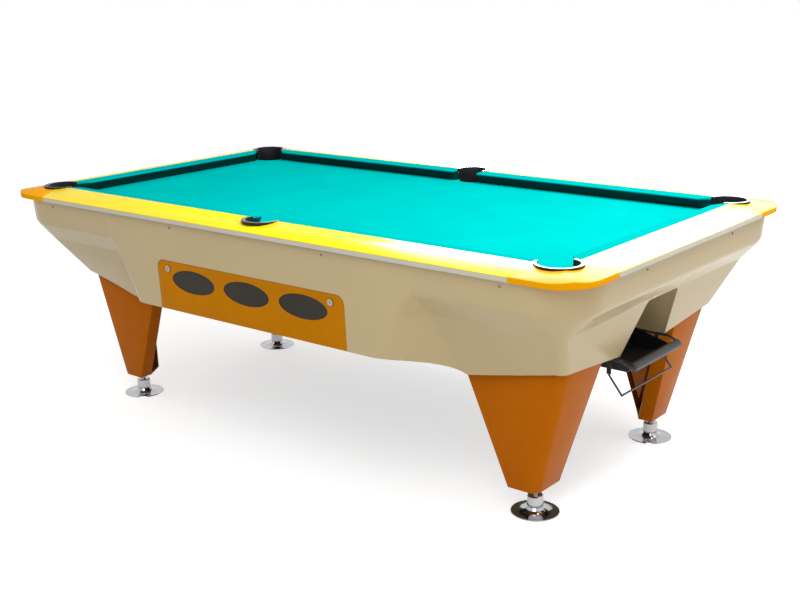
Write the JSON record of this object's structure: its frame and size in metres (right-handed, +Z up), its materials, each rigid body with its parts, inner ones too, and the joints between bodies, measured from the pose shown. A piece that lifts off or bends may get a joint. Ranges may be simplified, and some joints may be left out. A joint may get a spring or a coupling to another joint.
{
  "type": "outdoor pool table",
  "caption": "Full-width outdoor pool table: moulded cabinet, turquoise bed, yellow rails, tapered orange legs on levelling feet, ball tray at one end and a windowed service panel.",
  "frame": {"origin": "centre of the floor contact, under the middle of the table", "axes": "+X along the length towards the end with the ball tray, -Y the side with the service panel, +Z up"},
  "size_m": [2.29, 1.3, 0.7845],
  "materials": {
    "slab": "matt",
    "cloth": "matt woven",
    "cushion": "matt woven",
    "rail": "gloss",
    "strip": "satin",
    "casting": "gloss",
    "liner": "satin",
    "frame_paint": "satin",
    "steel": "zinc plated",
    "screw": "satin",
    "orange_paint": "satin",
    "panel_paint": "satin",
    "shell": "gloss",
    "smoked": "smoked",
    "chrome": "polished",
    "runway": "matt",
    "tray": "matt",
    "wire": "satin",
    "padding": "satin"
  },
  "bodies": {
    "table": {"bed_slab": "slab", "bed_cloth": "cloth", "bed_frame": "frame_paint", "shell_brackets": "frame_paint", "rail_bolts": "steel", "leg_frame_far": "frame_paint", "leg_frame_near": "frame_paint", "leg_bolts": "steel", "leg_inserts": "steel", "shell": "shell", "shell_screws": "screw", "panel_frame": "frame_paint", "ball_runways": "runway", "pocket_drops": "runway", "cross_runway": "runway", "alcove_liner": "shell", "ball_tray": "tray", "tray_carrier": "wire", "tray_roll": "padding", "rail_front": "rail", "pocket_front_mid": "liner", "cushion_front_far": "cushion", "corner_front_far": "casting", "pocket_front_far": "liner", "leg_front_far": "orange_paint", "cushion_front_near": "cushion", "corner_front_near": "casting", "pocket_front_near": "liner", "leg_front_near": "orange_paint", "rail_back": "rail", "pocket_back_mid": "liner", "cushion_back_far": "cushion", "corner_back_far": "casting", "pocket_back_far": "liner", "leg_back_far": "orange_paint", "cushion_back_near": "cushion", "corner_back_near": "casting", "pocket_back_near": "liner", "leg_back_near": "orange_paint", "cushion_end_far": "cushion", "rail_far": "rail", "cushion_end_near": "cushion", "rail_near": "rail", "strip_sides": "strip", "strip_ends": "strip"},
    "foot_front_far": {"foot_front_far": "chrome"},
    "collar_front_far": {"collar_front_far": "chrome"},
    "foot_front_near": {"foot_front_near": "chrome"},
    "collar_front_near": {"collar_front_near": "chrome"},
    "foot_back_far": {"foot_back_far": "chrome"},
    "collar_back_far": {"collar_back_far": "chrome"},
    "foot_back_near": {"foot_back_near": "chrome"},
    "collar_back_near": {"collar_back_near": "chrome"},
    "panel": {"service_panel": "panel_paint", "panel_windows": "smoked", "panel_hinges": "steel"},
    "lock_left": {"lock_left": "chrome"},
    "lock_right": {"lock_right": "chrome"},
    "bail": {"tray_bail": "wire"}
  },
  "joints": [
    {"name": "front_far_foot_height", "type": "slide", "parent": "table", "child": "foot_front_far", "axis": [0, 0, -1], "range_m": [0, 0.02]},
    {"name": "front_far_collar_turn", "type": "hinge", "parent": "foot_front_far", "child": "collar_front_far", "pos_m": [-0.8514, -0.3525, 0.04], "axis": [0, 0, -1], "range_deg": [0, 1795]},
    {"name": "front_near_foot_height", "type": "slide", "parent": "table", "child": "foot_front_near", "axis": [0, 0, -1], "range_m": [0, 0.02]},
    {"name": "front_near_collar_turn", "type": "hinge", "parent": "foot_front_near", "child": "collar_front_near", "pos_m": [0.8514, -0.3525, 0.04], "axis": [0, 0, -1], "range_deg": [0, 1795]},
    {"name": "back_far_foot_height", "type": "slide", "parent": "table", "child": "foot_back_far", "axis": [0, 0, -1], "range_m": [0, 0.02]},
    {"name": "back_far_collar_turn", "type": "hinge", "parent": "foot_back_far", "child": "collar_back_far", "pos_m": [-0.8514, 0.3525, 0.04], "axis": [0, 0, -1], "range_deg": [0, 1795]},
    {"name": "back_near_foot_height", "type": "slide", "parent": "table", "child": "foot_back_near", "axis": [0, 0, -1], "range_m": [0, 0.02]},
    {"name": "back_near_collar_turn", "type": "hinge", "parent": "foot_back_near", "child": "collar_back_near", "pos_m": [0.8514, 0.3525, 0.04], "axis": [0, 0, -1], "range_deg": [0, 1795]},
    {"name": "panel_hinge", "type": "hinge", "parent": "table", "child": "panel", "pos_m": [0, -0.61042, 0.46805], "axis": [1, 0, 0], "range_deg": [0, 85]},
    {"name": "lock_left_turn", "type": "hinge", "parent": "panel", "child": "lock_left", "pos_m": [-0.341, -0.62968, 0.59969], "axis": [0, -0.9985, -0.0549], "range_deg": [0, 90]},
    {"name": "lock_right_turn", "type": "hinge", "parent": "panel", "child": "lock_right", "pos_m": [0.341, -0.62968, 0.59969], "axis": [0, 0.9985, 0.0549], "range_deg": [0, 90]},
    {"name": "bail_swing", "type": "hinge", "parent": "table", "child": "bail", "pos_m": [0.961, 0, 0.3859], "axis": [0, -1, 0], "range_deg": [0, 45]}
  ],
  "couplings": [
    {"joint": "front_far_foot_height", "follows": "front_far_collar_turn", "m_per_rad": 0.00063662},
    {"joint": "front_near_foot_height", "follows": "front_near_collar_turn", "m_per_rad": 0.00063662},
    {"joint": "back_far_foot_height", "follows": "back_far_collar_turn", "m_per_rad": 0.00063662},
    {"joint": "back_near_foot_height", "follows": "back_near_collar_turn", "m_per_rad": 0.00063662}
  ]
}
